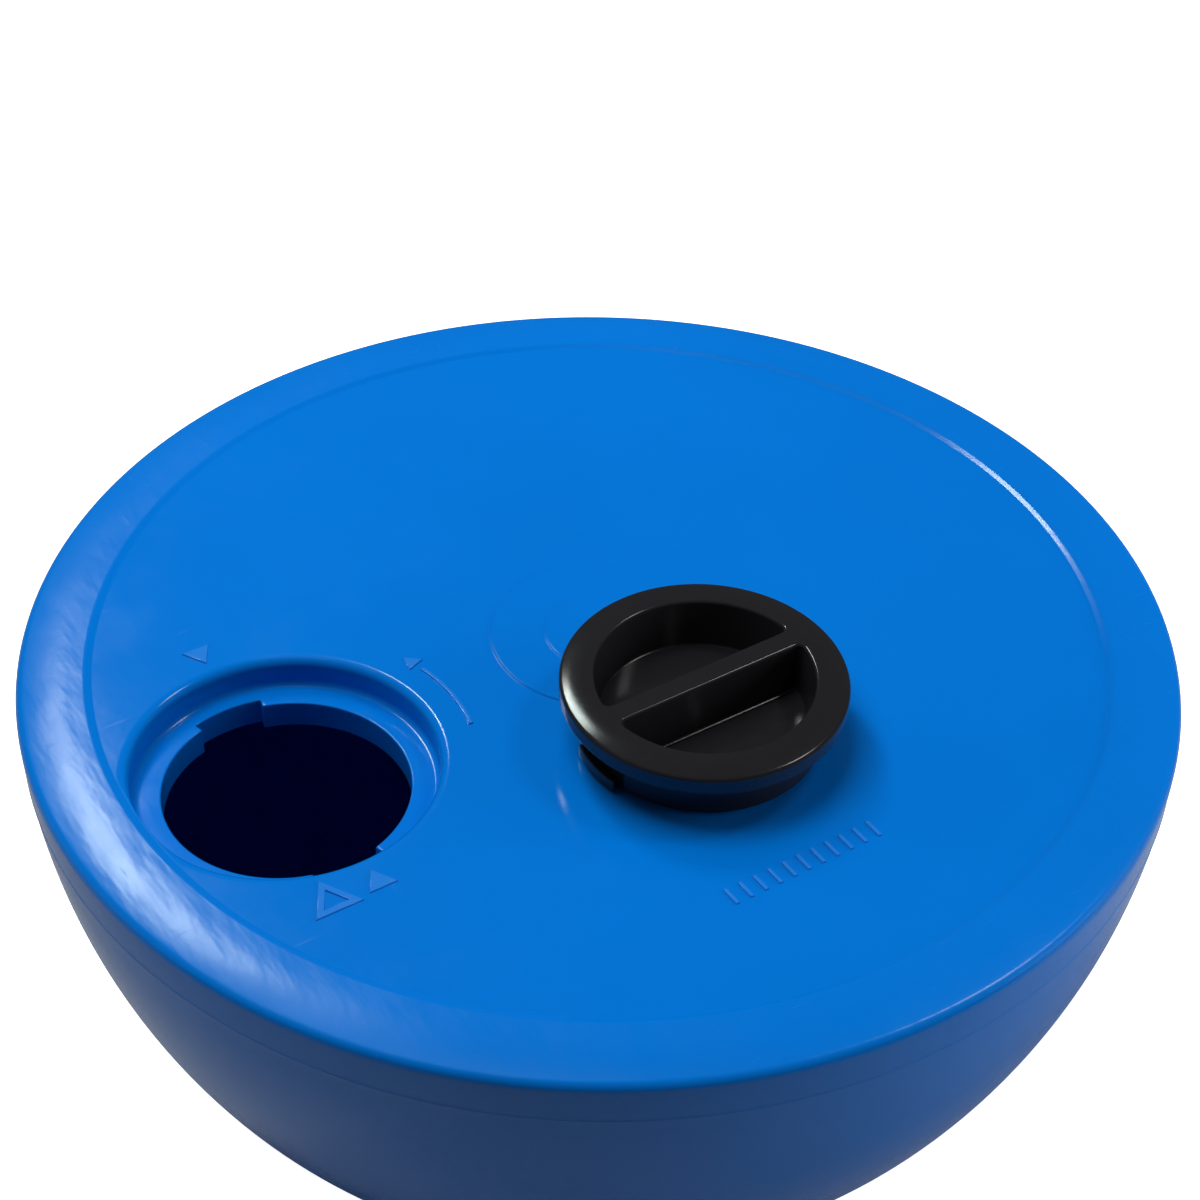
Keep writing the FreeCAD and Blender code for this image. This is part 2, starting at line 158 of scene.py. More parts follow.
def ring_edges(bm: BMesh, radius: float, level: float) -> list[BMEdge]:
    """Finds the edges of one horizontal circle about +Z.

    Args:
        bm: the bmesh to look in.
        radius: the circle's radius.
        level: its height.

    Returns:
        The circle's edges.
    """
    def on(vert: BMVert) -> bool:
        """Whether a corner lies on the circle."""
        aside = math.hypot(vert.co.x, vert.co.y)
        return abs(aside - radius) < TINY * 20 and abs(vert.co.z - level) < TINY * 20
    return [edge for edge in bm.edges if on(edge.verts[0]) and on(edge.verts[1])]


def corner_edges(bm: BMesh) -> list[BMEdge]:
    """The edges between two faces that turn sharply."""
    return [edge for edge in bm.edges if edge.calc_face_angle(0.0) > CORNER_ANGLE]


def round_off(bm: BMesh, edges: list[BMEdge], width: float, segments: int = 3) -> None:
    """Rounds edges.

    Args:
        bm: the bmesh that holds them.
        edges: what to round.
        width: how far the rounding reaches along each side.
        segments: number of faces across the rounding.
    """
    bmesh.ops.bevel(bm, geom=edges, offset=width, offset_type="OFFSET", segments=segments,
                    profile=0.5, affect="EDGES", clamp_overlap=True, material=-1)


def fill_flat(bm: BMesh, level: float, up: float) -> None:
    """Fills the flat region between the open loops at one height.

    Args:
        bm: the bmesh to fill.
        level: the height of the loops.
        up: 1 where the region faces up, -1 where it faces down.
    """
    loops = [edge for edge in bm.edges if edge.is_boundary
             and all(abs(vert.co.z - level) < TINY * 5 for vert in edge.verts)]
    bmesh.ops.triangle_fill(bm, edges=loops, use_beauty=True, normal=(0.0, 0.0, up))


def ring_block(across: Pair, levels: Pair, start: float, sweep: float, steps: int) -> BMesh:
    """Makes a block that is a piece of a ring: an upright rectangle swept about +Z.

    Args:
        across: its inner and outer radius.
        levels: its lowest and highest level.
        start: direction of its first end, in degrees.
        sweep: how far round it goes, in degrees.
        steps: number of pieces along it.

    Returns:
        The block.
    """
    bm = bmesh.new()
    bmesh.ops.create_grid(bm, x_segments=1, y_segments=1, size=0.5)
    middle = ((across[0] + across[1]) / 2, 0.0, (levels[0] + levels[1]) / 2)
    size = (across[1] - across[0], levels[1] - levels[0], 1.0, 1.0)
    upright = Matrix.Translation(middle) @ Matrix.Rotation(math.pi / 2, 4, "X")
    bmesh.ops.transform(bm, verts=bm.verts[:], matrix=upright @ Matrix.Diagonal(size))
    turned(bm, math.radians(start), "Z")
    bmesh.ops.spin(bm, geom=bm.verts[:] + bm.edges[:] + bm.faces[:], cent=ORIGIN, axis=UP,
                   angle=math.radians(sweep), steps=steps)
    bmesh.ops.recalc_face_normals(bm, faces=bm.faces[:])
    return bm


def meeting_point(first: Triple, second: Triple) -> Pair:
    """Finds where two circles meet, which is the centre of a rounding between two arcs.

    Args:
        first: across, up and radius of a circle.
        second: the same of another.

    Returns:
        Across and up of the meeting point that lies further out.
    """
    start, end = Vector(first[:2]), Vector(second[:2])
    apart = (end - start).length
    ahead = (end - start) / apart
    along = (first[2] ** 2 - second[2] ** 2 + apart ** 2) / (2 * apart)
    aside = Vector((-ahead.y, ahead.x)) * math.sqrt(first[2] ** 2 - along ** 2)
    middle = start + ahead * along
    best = max((middle + aside, middle - aside), key=lambda point: point.x)
    return best.x, best.y


def arc_end(centre: Pair, through: Pair, radius: float) -> Pair:
    """Finds the point of a circle in the direction of another point.

    Args:
        centre: the circle's centre.
        through: the point that gives the direction.
        radius: the circle's radius.

    Returns:
        The point, across and up.
    """
    direction = (Vector(through) - Vector(centre)).normalized() * radius
    return centre[0] + direction.x, centre[1] + direction.y


# ---------------- finishes

class Slot(Enum):
    """The record's material slots."""

    BLUE = "blue_polyethylene"
    BLACK = "black_polypropylene"
    RUBBER = "seal_rubber"


@dataclass(frozen=True)
class Pattern:
    """A noise pattern: waves to the metre, octaves and their strength, stretch, turn about +Z."""

    scale: float
    detail: float = 2.0
    roughness: float = 0.5
    stretch: Triple = (1.0, 1.0, 1.0)
    turn: float = 0.0


CLOUDS = Pattern(9.0, 3.0)
SPECKS = Pattern(420.0)
HANDLED = Pattern(26.0, 4.0, 0.6)
SCRATCHES = (Pattern(60.0, stretch=(1.0, 14.0, 1.0), turn=0.5),
             Pattern(60.0, stretch=(13.0, 1.0, 1.0), turn=-0.35))
WAVES = Pattern(16.0)
STREAKS = Pattern(55.0, stretch=(3.5, 1.0, 1.0))
MOTTLE = Pattern(180.0, 4.0, 0.65)
RUBBER_GRAIN = Pattern(2600.0)
PAPER = Pattern(2.0)


class Nodes:
    """A material's node tree, with short calls to add nodes and wires."""

    def __init__(self, name: str) -> None:
        """Makes the material with its Principled shader.

        Args:
            name: the material's name.
        """
        self.material = bpy.data.materials.new(name)
        self.material.use_nodes = True
        self.tree = self.material.node_tree
        self.shader = self.tree.nodes["Principled BSDF"]
        self.place = self.add("ShaderNodeTexCoord").outputs["Object"]

    def add(self, kind: str, **settings: object) -> bpy.types.Node:
        """Adds a node.

        Args:
            kind: the node's type.
            settings: attributes to set on it.

        Returns:
            The node.
        """
        node = self.tree.nodes.new(kind)
        for name, value in settings.items():
            setattr(node, name, value)
        return node

    def wire(self, source: NodeSocket, target: NodeSocket) -> None:
        """Links one socket to another."""
        self.tree.links.new(source, target)

    def noise(self, pattern: Pattern) -> NodeSocket:
        """Adds a noise pattern on object coordinates.

        Args:
            pattern: its size, stretch and turn.

        Returns:
            The pattern's value, about 0.5 in the middle.
        """
        mapping = self.add("ShaderNodeMapping")
        mapping.inputs["Scale"].default_value = pattern.stretch
        mapping.inputs["Rotation"].default_value = (0.0, 0.0, pattern.turn)
        self.wire(self.place, mapping.inputs["Vector"])
        noise = self.add("ShaderNodeTexNoise")
        noise.inputs["Scale"].default_value = pattern.scale
        noise.inputs["Detail"].default_value = pattern.detail
        noise.inputs["Roughness"].default_value = pattern.roughness
        self.wire(mapping.outputs["Vector"], noise.inputs["Vector"])
        return noise.outputs["Fac"]

    def span(self, value: NodeSocket, low: float, high: float,
             to_low: float, to_high: float) -> NodeSocket:
        """Maps one range of a value to another, and holds it at the ends.

        Args:
            value: what to map.
            low: start of its range.
            high: end of its range.
            to_low: result at the start.
            to_high: result at the end.

        Returns:
            The mapped value.
        """
        node = self.add("ShaderNodeMapRange", clamp=True)
        names = ("From Min", "From Max", "To Min", "To Max")
        for name, number in zip(names, (low, high, to_low, to_high)):
            node.inputs[name].default_value = number
        self.wire(value, node.inputs["Value"])
        return node.outputs["Result"]

    def marked(self, attribute: str, plain: float, mark: float) -> NodeSocket:
        """Reads a mark that vertices carry.

        Args:
            attribute: the mark's name.
            plain: result where there is no mark.
            mark: result where there is one.

        Returns:
            The value.
        """
        node = self.add("ShaderNodeAttribute", attribute_name=attribute)
        return self.span(node.outputs["Fac"], 0.0, 1.0, plain, mark)

    def sum(self, first: NodeSocket, second: NodeSocket) -> NodeSocket:
        """Adds two values.

        Args:
            first: a value.
            second: another.

        Returns:
            Their sum.
        """
        node = self.add("ShaderNodeMath", operation="ADD")
        self.wire(first, node.inputs[0])
        self.wire(second, node.inputs[1])
        return node.outputs[0]

    def blend(self, share: NodeSocket, low: Triple, high: Triple) -> NodeSocket:
        """Blends two colours by a pattern.

        Args:
            share: 0 for the first colour, 1 for the second.
            low: the first colour, linear.
            high: the second.

        Returns:
            The colour.
        """
        node = self.add("ShaderNodeValToRGB")
        node.color_ramp.elements[0].color = (*low, 1.0)
        node.color_ramp.elements[1].color = (*high, 1.0)
        self.wire(share, node.inputs["Fac"])
        return node.outputs["Color"]

    def bump(self, height: NodeSocket, distance: float, strength: float,
             over: NodeSocket | None = None) -> NodeSocket:
        """Adds relief.

        Args:
            height: the pattern, 0 to 1.
            distance: its full height in metres.
            strength: 0 to 1.
            over: a normal from another relief.

        Returns:
            The normal.
        """
        node = self.add("ShaderNodeBump")
        node.inputs["Strength"].default_value = strength
        node.inputs["Distance"].default_value = distance
        self.wire(height, node.inputs["Height"])
        if over is not None:
            self.wire(over, node.inputs["Normal"])
        return node.outputs["Normal"]


@dataclass(frozen=True)
class MouldedPlastic:
    """A moulded plastic, coloured through: wavy, finely grained, scratched and rubbed by handling.

    The band is duller and more streaked than the rest, and the raised marks carry a painted sheen
    that makes them paler.
    """

    name: str
    deep: Triple
    pale: Triple
    smooth: float                  # roughness of the shiniest patches
    rough: float                   # and of the dullest
    gloss: float
    grain: float                   # waves to the metre
    grain_height: float
    wave_height: float
    # painted sheen on the raised marks: how far their colour is lightened, and the paler blue it
    # goes towards
    mark_sheen_share: float = 0.0
    painted_sheen: Triple = (0.10, 0.33, 0.86)
    scratch_dulling: float = 0.09
    band_dulling: float = 0.10
    streak_share: float = 0.6      # the streaks' height, as a share of the waves'
    streaks_elsewhere: float = 0.2
    streaks_on_band: float = 0.8

    def colour(self, nodes: Nodes) -> NodeSocket:
        """Mixes the colour: clouds of two tones, pale specks and a painted sheen on the raised
        marks.

        Args:
            nodes: the material's nodes.

        Returns:
            The colour.
        """
        clouds = nodes.span(nodes.noise(CLOUDS), 0.3, 0.7, 0.0, 0.8)
        specks = nodes.span(nodes.noise(SPECKS), 0.62, 0.8, 0.0, 0.2)
        # painted sheen: the raised marks are lightened towards a paler blue, standing in for the
        # light their tops catch
        painted_sheen = nodes.add("ShaderNodeMix", data_type="RGBA")
        nodes.wire(nodes.marked(PAINTED_MARK_SHEEN, 0.0, self.mark_sheen_share), painted_sheen.inputs["Factor"])
        nodes.wire(nodes.blend(nodes.sum(clouds, specks), self.deep, self.pale), painted_sheen.inputs["A"])
        painted_sheen.inputs["B"].default_value = (*self.painted_sheen, 1.0)
        return painted_sheen.outputs["Result"]

    def dullness(self, nodes: Nodes) -> NodeSocket:
        """Mixes the roughness: handled patches, a duller band and two sets of scratches.

        Args:
            nodes: the material's nodes.

        Returns:
            The roughness.
        """
        handled = nodes.span(nodes.noise(HANDLED), 0.42, 0.72, self.smooth, self.rough)
        dulled = nodes.sum(handled, nodes.marked(SCUFFED_BAND, 0.0, self.band_dulling))
        scratches = [nodes.span(nodes.noise(pattern), 0.70, 0.78, 0.0, self.scratch_dulling)
                     for pattern in SCRATCHES]
        return nodes.sum(dulled, nodes.sum(*scratches))

    def relief(self, nodes: Nodes) -> NodeSocket:
        """Adds the relief: slow waves, the streaks of the moulding and the fine grain.

        Args:
            nodes: the material's nodes.

        Returns:
            The normal.
        """
        waves = nodes.bump(nodes.noise(WAVES), self.wave_height, 0.6)
        height = self.wave_height * self.streak_share
        streaks = nodes.bump(nodes.noise(STREAKS), height, self.streaks_elsewhere, waves)
        strength = nodes.marked(SCUFFED_BAND, self.streaks_elsewhere, self.streaks_on_band)
        nodes.wire(strength, streaks.node.inputs["Strength"])
        grain = nodes.noise(Pattern(self.grain, 3.0, 0.6))
        return nodes.bump(grain, self.grain_height, 0.5, streaks)

    def material(self) -> Material:
        """Builds the node material.

        Returns:
            The material.
        """
        nodes = Nodes(self.name)
        shader = nodes.shader.inputs
        nodes.wire(self.colour(nodes), shader["Base Color"])
        nodes.wire(self.dullness(nodes), shader["Roughness"])
        nodes.wire(self.relief(nodes), shader["Normal"])
        shader["Specular IOR Level"].default_value = self.gloss
        return nodes.material


@dataclass(frozen=True)
class Rubber:
    """Matt black rubber with a bloomed, mottled surface."""

    name: str = "seal_rubber_finish"
    dark: Triple = (0.010, 0.010, 0.011)
    bloomed: Triple = (0.035, 0.034, 0.033)
    grain_height: float = 0.00008

    def material(self) -> Material:
        """Builds the node material.

        Returns:
            The material.
        """
        nodes = Nodes(self.name)
        shader = nodes.shader.inputs
        mottle = nodes.noise(MOTTLE)
        grain = nodes.noise(RUBBER_GRAIN)
        nodes.wire(nodes.blend(mottle, self.dark, self.bloomed), shader["Base Color"])
        nodes.wire(nodes.span(mottle, 0.3, 0.7, 0.62, 0.85), shader["Roughness"])
        nodes.wire(nodes.bump(grain, self.grain_height, 0.6), shader["Normal"])
        return nodes.material


BLUE = MouldedPlastic(
    name="blue_polyethylene_finish", deep=(0.0003, 0.172, 0.66), pale=(0.0005, 0.190, 0.72),
    smooth=0.11, rough=0.18, gloss=0.34, grain=450.0, grain_height=0.000024,
    wave_height=0.0003, mark_sheen_share=0.20).material()
BLACK = MouldedPlastic(
    name="black_polypropylene_finish", deep=(0.0140, 0.0136, 0.0160),
    pale=(0.0190, 0.0185, 0.0215), smooth=0.12, rough=0.19, gloss=0.5, grain=2600.0,
    grain_height=0.00003, wave_height=0.0001).material()
SEAL = Rubber().material()


# ---------------- pieces

class Piece:
    """One piece of the object: what it stands for, what it rides on and its finish."""

    node: str
    body: str
    slot: Slot

    def finished(self, bm: BMesh, material: Material) -> bpy.types.Object:
        """Turns the bmesh into the piece and puts it in the frame.

        Args:
            bm: the closed shape, in the frame's metres; it is freed.
            material: the piece's finish.

        Returns:
            The piece's object.
        """
        bmesh.ops.remove_doubles(bm, verts=bm.verts[:], dist=TINY)
        bmesh.ops.recalc_face_normals(bm, faces=bm.faces[:])
        for face in bm.faces:
            face.smooth = True
        mesh = bpy.data.meshes.new(self.node + "_skin")
        bm.to_mesh(mesh)
        loose = sum(1 for edge in bm.edges if not edge.is_manifold)
        volume = bm.calc_volume(signed=True) * CUBIC_CM
        bm.free()
        mesh.set_sharp_from_angle(angle=SHARP_ANGLE)
        mesh.materials.append(material)
        piece = bpy.data.objects.new(self.node + "_skin", mesh)
        bpy.context.scene.collection.objects.link(piece)
        weighted = piece.modifiers.new("flat_faces_shade_flat", "WEIGHTED_NORMAL")
        weighted.keep_sharp = True
        weighted.weight = 100
        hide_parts(self.node)
        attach(piece, self.body)
        LOG.info("%s: %d faces, %d open edges, %.1f cm3, on %s", self.node, len(mesh.polygons),
                 loose, volume, self.body)
        return piece


@dataclass
class SideWall:
    """The side wall's section, shared by the two shells: an arc, and its offset by the wall."""

    face_radius: float = 0.180
    face_level: float = 0.195
    wall: float = 0.003
    arc_radius: float = 0.222
    seam_drop: float = 0.0145
    flash: float = 0.00016       # how far the bead at the parting line stands out
    flash_half: float = 0.0005   # half its height

    @property
    def centre(self) -> Pair:
        """The centre of both arcs."""
        return self.face_radius - self.arc_radius, self.face_level

    @property
    def seam(self) -> float:
        """Height of the parting line."""
        return self.face_level - self.seam_drop

    def outer(self, level: float) -> float:
        """Radius of the outside at a height."""
        return self.centre[0] + math.sqrt(self.arc_radius ** 2 - (self.face_level - level) ** 2)

    def inner(self, level: float) -> float:
        """Radius of the inside at a height."""
        radius = self.arc_radius - self.wall
        return self.centre[0] + math.sqrt(radius ** 2 - (self.face_level - level) ** 2)


@dataclass
class FacePlate(Piece):
    """The flat face: crowned band and rim, centre boss, filler recess and neck, raised marks."""

    side: SideWall
    node: str = "face_plate"
    body: str = "base"
    slot: Slot = Slot.BLUE
    round_steps: int = 240
    band_radius: float = 0.159
    band_slope: float = 0.002
    band_rise: float = 0.001
    band_land: float = 0.005
    crown_radius: float = 0.080
    rim_radius: float = 0.003
    boss_radius: float = 0.034
    boss_rise: float = 0.0006
    hub_radius: float = 0.017
    hub_rise: float = 0.001
    step_slope: float = 0.0004
    filler_across: float = -0.1106
    recess_radius: float = 0.0457
    recess_depth: float = 0.010
    hole_radius: float = 0.037
    collar: float = 0.009
    slot_reach: float = 0.003
    slot_half: float = 16.0
    lip_round: float = 0.003
    ledge_round: float = 0.002
    mark_circle: float = 0.0568
    mark_rise: float = 0.0005
    mark_sunk: float = 0.0006
    mark_round: float = 0.00032
    bar_count: int = 11
    bar_pitch: float = 0.005
    bar_length: float = 0.0064
    bar_width: float = 0.0013
    bars_middle: Pair = (-0.0055, -0.114)
    triangle_size: float = 0.0052
    triangle_turns: Pair = (90.0, -90.0)
    open_size: float = 0.0086
    open_rim: float = 0.0021
    open_place: Pair = (0.0582, -104.4)
    head_size: float = 0.0036
    head_turn: float = 19.3
    shaft_width: float = 0.0014
    shaft_half: float = 15.0
    band_foot_round: float = 0.0002
    band_top_round: float = 0.0006
    step_round: float = 0.00018
    hole_round: float = 0.0005
    ring_margin: float = 0.00025   # the margins are the flat runs where a part meets the face
    boss_margin: float = 0.001
    lip_margin: float = 0.0004
    foot_margin: float = 0.0008
    band_gap: float = 0.00035      # left between the recess's lip and the band's step
    slot_slant: float = 0.15       # degrees that a slot's side leans

    def outer_ring(self) -> BMesh:
        """Makes the band, the rim, and the side wall with its inside.

        Returns:
            The ring, open at the inner edge of its face and of its underside.
        """
        face, side = self.side.face_level, self.side
        foot = self.band_radius - self.band_slope
        land = self.band_radius + self.band_land
        top = face + self.band_rise
        crown = (land, top - self.crown_radius)
        rim = meeting_point((*crown, self.crown_radius - self.rim_radius),
                            (*side.centre, side.arc_radius - self.rim_radius))
        crown_end = arc_end(crown, rim, self.crown_radius)
        wall_start = arc_end(side.centre, rim, side.arc_radius)
        under = face - side.wall
        bead = side.seam + side.flash_half
        edge = side.outer(side.seam) + side.flash
        section = Section(foot - self.ring_margin, face).line(foot, face)
        section.line(self.band_radius, top).line(land, top)
        section.arc(crown, *crown_end, 16).arc(rim, *wall_start, 10)
        section.arc(side.centre, side.outer(bead), bead, 6).line(edge, side.seam + side.flash)
        section.line(edge, side.seam).line(side.inner(side.seam), side.seam)
        section.arc(side.centre, side.inner(under), under, 5)
        section.line(side.inner(under) - side.wall, under)
        bm = section.spin(self.round_steps)
        round_off(bm, ring_edges(bm, foot, face), self.band_foot_round)
        round_off(bm, ring_edges(bm, self.band_radius, top), self.band_top_round, 4)
        return bm

    def boss(self) -> BMesh:
        """Makes the centre disc and the smaller disc on it.

        Returns:
            The discs, open at their outer edge.
        """
        face = self.side.face_level
        disc, hub = face + self.boss_rise, face + self.hub_rise
        foot, hub_foot = self.boss_radius + self.step_slope, self.hub_radius + self.step_slope
        section = Section(self.boss_radius + self.boss_margin, face).line(foot, face)
        section.line(self.boss_radius, disc).line(hub_foot, disc)
        section.line(self.hub_radius, hub).line(0.0, hub)
        bm = section.spin(self.round_steps)
        for radius, level in ((foot, face), (self.boss_radius, disc), (hub_foot, disc),
                              (self.hub_radius, hub)):
            round_off(bm, ring_edges(bm, radius, level), self.step_round)
        return bm

    def recess(self) -> BMesh:
        """Makes the recess: rounded lip, wall, ledge, the hole's collar and the neck's outside.

        Returns:
            The recess, open at its outer edge and at the top of its neck.
        """
        face, where = self.side.face_level, self.filler_across
        ledge = face - self.recess_depth
        end = ledge - self.collar
        lip = (self.recess_radius + self.lip_round, face - self.lip_round)
        foot = (self.recess_radius - self.ledge_round, ledge + self.ledge_round)
        section = Section(lip[0] + self.lip_margin, face).line(lip[0], face)
        section.arc(lip, self.recess_radius, lip[1], 10).line(self.recess_radius, foot[1])
        section.arc(foot, foot[0], ledge, 8).line(foot[0] - self.foot_margin, ledge)
        bm = section.spin(self.round_steps, where)
        self.keep_inside_band(bm)

        neck = Section(self.recess_radius + self.side.wall, face - self.side.wall)
        neck.line(self.recess_radius + self.side.wall, end)
        absorb(bm, neck.spin(self.round_steps, where))
        outline = self.bayonet_outline(bm, ledge)
        lower = corners_of(bmesh.ops.extrude_edge_only(bm, edges=outline)["geom"])
        bmesh.ops.translate(bm, verts=lower, vec=(0.0, 0.0, -self.collar))
        fill_flat(bm, ledge, 1.0)
        fill_flat(bm, end, -1.0)
        round_off(bm, outline, self.hole_round)
        return bm

    def keep_inside_band(self, bm: BMesh) -> None:
        """Narrows the recess's lip where it would run into the band's step.

        Args:
            bm: the recess, whose lip is changed.
        """
        limit = self.band_radius - self.band_slope - self.band_gap
        widest = self.recess_radius + self.lip_round + self.lip_margin
        for vert in bm.verts:
            aside = Vector((vert.co.x - self.filler_across, vert.co.y))
            over = aside.length - self.recess_radius
            if over <= TINY:
                continue
            ahead = aside.normalized()
            back = -self.filler_across * ahead.x
            room = back + math.sqrt(limit ** 2 - (self.filler_across * ahead.y) ** 2)
            share = min(1.0, (room - self.recess_radius) / (widest - self.recess_radius))
            reach = self.recess_radius + over * share
            vert.co.x, vert.co.y = self.filler_across + ahead.x * reach, ahead.y * reach

    def bayonet_outline(self, bm: BMesh, level: float) -> list[BMEdge]:
        """Draws the filler hole's outline, a circle with two slots.

        Args:
            bm: receives the outline.
            level: its height.

        Returns:
            The outline's edges.
        """
        made = bmesh.ops.create_circle(bm, segments=self.round_steps, radius=self.hole_radius,
                                       matrix=Matrix.Translation((self.filler_across, 0.0, level)))
        step = 360.0 / self.round_steps
        for vert in made["verts"]:
            turn = math.degrees(math.atan2(vert.co.y, vert.co.x - self.filler_across))
            slot_turn = math.copysign(90.0, turn)
            off = turn - slot_turn
            inside = abs(off) < self.slot_half
            radius = self.hole_radius + (self.slot_reach if inside else 0.0)
            if abs(abs(off) - self.slot_half) < step:
                off = math.copysign(self.slot_half - (self.slot_slant if inside else 0.0), off)
            turn = math.radians(slot_turn + off)
            vert.co.x = self.filler_across + radius * math.cos(turn)
            vert.co.y = radius * math.sin(turn)
        return list({edge for vert in made["verts"] for edge in vert.link_edges})

    def raised(self, bm: BMesh, place: Pair, turn: float) -> BMesh:
        """Raises a flat outline into a mark whose foot is sunk a little into the face.

        Args:
            bm: the outline's faces, at height 0 about its own centre.
            place: its centre on the face.
            turn: its rotation in degrees about +Z.

        Returns:
            The mark.
        """
        upper = set(corners_of(bmesh.ops.extrude_face_region(bm, geom=bm.faces[:])["geom"]))
        bmesh.ops.translate(bm, verts=list(upper), vec=(0.0, 0.0, self.mark_rise + self.mark_sunk))
        bmesh.ops.recalc_face_normals(bm, faces=bm.faces[:])
        crest = [edge for edge in corner_edges(bm) if upper.issuperset(edge.verts)]
        round_off(bm, crest, self.mark_round)
        turned(bm, math.radians(turn), "Z")
        bmesh.ops.translate(bm, verts=bm.verts[:],
                            vec=(*place, self.side.face_level - self.mark_sunk))
        return bm

    def triangle(self, size: float, place: Pair, pointing: float, rim: float = 0.0) -> BMesh:
        """Makes a raised triangle.

        Args:
            size: centre to corner.
            place: its centre on the face.
            pointing: direction of its first corner, in degrees about +Z.
            rim: width of its rim where it is open in the middle, or 0 for a solid one.

        Returns:
            The mark.
        """
        bm = bmesh.new()
        bmesh.ops.create_circle(bm, segments=3, radius=size, cap_ends=True)
        if rim:
            bmesh.ops.inset_region(bm, faces=bm.faces[:], thickness=rim,
                                   use_even_offset=True, use_boundary=True)
            middle = min(bm.faces, key=lambda face: face.calc_center_median().length)
            bmesh.ops.delete(bm, geom=[middle], context="FACES")
        corner = max(bm.verts, key=lambda vert: vert.co.length)
        first = math.degrees(math.atan2(corner.co.y, corner.co.x))
        return self.raised(bm, place, pointing - first)

    def bar(self, place: Pair) -> BMesh:
        """Makes one plain bar of the row, its length along Y.

        Args:
            place: its centre on the face.

        Returns:
            The bar.
        """
        bm = bmesh.new()
        bmesh.ops.create_grid(bm, x_segments=1, y_segments=1, size=0.5)
        bmesh.ops.scale(bm, verts=bm.verts[:], vec=(self.bar_width, self.bar_length, 1.0))
        return self.raised(bm, place, 0.0)

    def beside_hole(self, radius: float, turn: float) -> Pair:
        """A point at a distance and direction, in degrees, from the filler hole's centre."""
        angle = math.radians(turn)
        return self.filler_across + radius * math.cos(angle), radius * math.sin(angle)

    def arrow_shaft(self) -> BMesh:
        """Makes the curved shaft of the turning arrow, about the filler hole.

        Returns:
            The shaft.
        """
        half, top = self.shaft_width / 2, self.mark_rise
        bm = ring_block((self.mark_circle - half, self.mark_circle + half), (-self.mark_sunk, top),
                        -self.shaft_half, 2 * self.shaft_half, 16)
        crest = [edge for edge in corner_edges(bm)
                 if all(abs(vert.co.z - top) < TINY for vert in edge.verts)]
        round_off(bm, crest, self.mark_round)
        bmesh.ops.translate(bm, verts=bm.verts[:],
                            vec=(self.filler_across, 0.0, self.side.face_level))
        return bm

    def marks(self) -> list[BMesh]:
        """Makes two aligning triangles, an open one, the turning arrow and a row of plain bars.

        Returns:
            The marks.
        """
        made = [self.triangle(self.triangle_size, self.beside_hole(self.mark_circle, turn),
                              turn + 180.0) for turn in self.triangle_turns]
        made.append(self.triangle(self.open_size, self.beside_hole(*self.open_place), 90.0,
                                  rim=self.open_rim))
        made.append(self.arrow_shaft())
        head = self.beside_hole(self.mark_circle, self.head_turn)
        made.append(self.triangle(self.head_size, head, self.head_turn + 90.0))
        first, second = self.bars_middle
        half = self.bar_count // 2
        made += [self.bar((first + index * self.bar_pitch, second))
                 for index in range(-half, half + 1)]
        return made

    def build(self) -> None:
        """Builds the piece."""
        face, wall = self.side.face_level, self.side.wall
        bm = self.outer_ring()
        layer = bm.verts.layers.float.new(SCUFFED_BAND)
        for vert in bm.verts:
            outside = math.hypot(vert.co.x, vert.co.y) > self.band_radius - TINY
            vert[layer] = float(outside and vert.co.z > face - wall / 2)
        absorb(bm, self.boss(), self.recess())
        fill_flat(bm, face, 1.0)
        fill_flat(bm, face - wall, -1.0)
        for mark in self.marks():
            # flags the raised marks for the painted sheen that lightens them
            layer = mark.verts.layers.float.new(PAINTED_MARK_SHEEN)
            for vert in mark.verts:
                vert[layer] = 1.0
            absorb(bm, mark)
        self.finished(bm, BLUE)


@dataclass
class BowlShell(Piece):
    """The side wall and narrow end, with the pole socket inside."""

    side: SideWall
    node: str = "bowl_shell"
    body: str = "base"
    slot: Slot = Slot.BLUE
    round_steps: int = 240
    foot_round: float = 0.030
    pole_radius: float = 0.01425
    pole_chamfer: float = 0.0015
    pole_round: float = 0.0020

    def build(self) -> None:
        """Builds the piece."""
        side, wall = self.side, self.side.wall
        tube = self.pole_radius + wall
        under = side.face_level - wall
        rise = side.face_level - self.foot_round
        reach = math.sqrt((side.arc_radius - self.foot_round) ** 2 - rise ** 2)
        foot = (side.centre[0] + reach, self.foot_round)
        foot_start = arc_end(side.centre, foot, side.arc_radius)
        edge = side.outer(side.seam) + side.flash
        bead = side.seam - side.flash_half
        section = Section(edge, side.seam).line(edge, side.seam - side.flash)
        section.line(side.outer(bead), bead).arc(side.centre, *foot_start, 64)
        section.arc(foot, foot[0], 0.0, 8).line(self.pole_radius + self.pole_chamfer, 0.0)
        section.line(self.pole_radius, self.pole_chamfer)
        section.line(self.pole_radius, under - wall).line(0.0, under - wall)
        bm = section.bm
        inside = Section(0.0, under).line(tube, under).line(tube, wall).line(side.inner(wall), wall)
        inside.arc(side.centre, side.inner(side.seam), side.seam, 48)
        absorb(bm, inside.bm)
        bm.edges.new([vert for vert in bm.verts if abs(vert.co.z - side.seam) < TINY])
        bm = section.spin(self.round_steps)
        round_off(bm, ring_edges(bm, tube, wall), self.pole_round, 4)
        self.finished(bm, BLUE)


